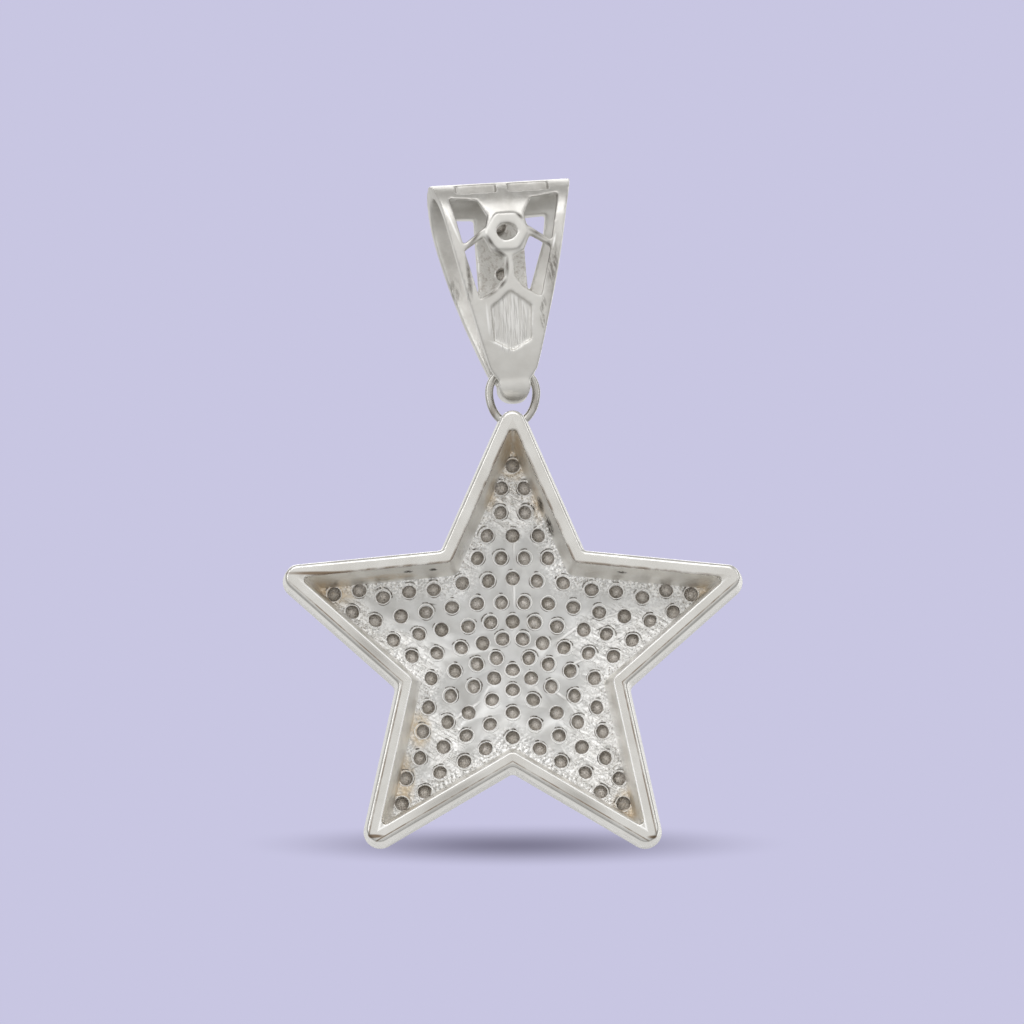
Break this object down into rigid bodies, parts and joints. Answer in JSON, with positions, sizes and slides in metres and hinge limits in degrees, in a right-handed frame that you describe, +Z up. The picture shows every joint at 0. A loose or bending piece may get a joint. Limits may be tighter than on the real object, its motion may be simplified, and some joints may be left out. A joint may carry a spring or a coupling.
{
  "type": "star pendant",
  "caption": "Hollow five-pointed star pendant with a flat back rim, a faceted front set all over with small round stones, and a ring on a tapered openwork chain bail.",
  "frame": {"origin": "inside top of the bail's loop, where the chain carries the pendant", "axes": "+X across the star along the chain's passage, +Y towards the star's hollow back, +Z up"},
  "size_m": [0.0303, 0.008, 0.0446],
  "materials": {
    "silver": "polished, brushed in places",
    "stone": "faceted, clear"
  },
  "bodies": {
    "bail": {"bail": "silver", "bail_stones": "stone"},
    "star": {"star_setting": "silver", "star_stones": "stone"}
  },
  "joints": [
    {"name": "star_swing", "type": "hinge", "parent": "bail", "child": "star", "pos_m": [-0.00086, 0, -0.01158], "axis": [1, 0, 0], "range_deg": [-30, 30]}
  ]
}
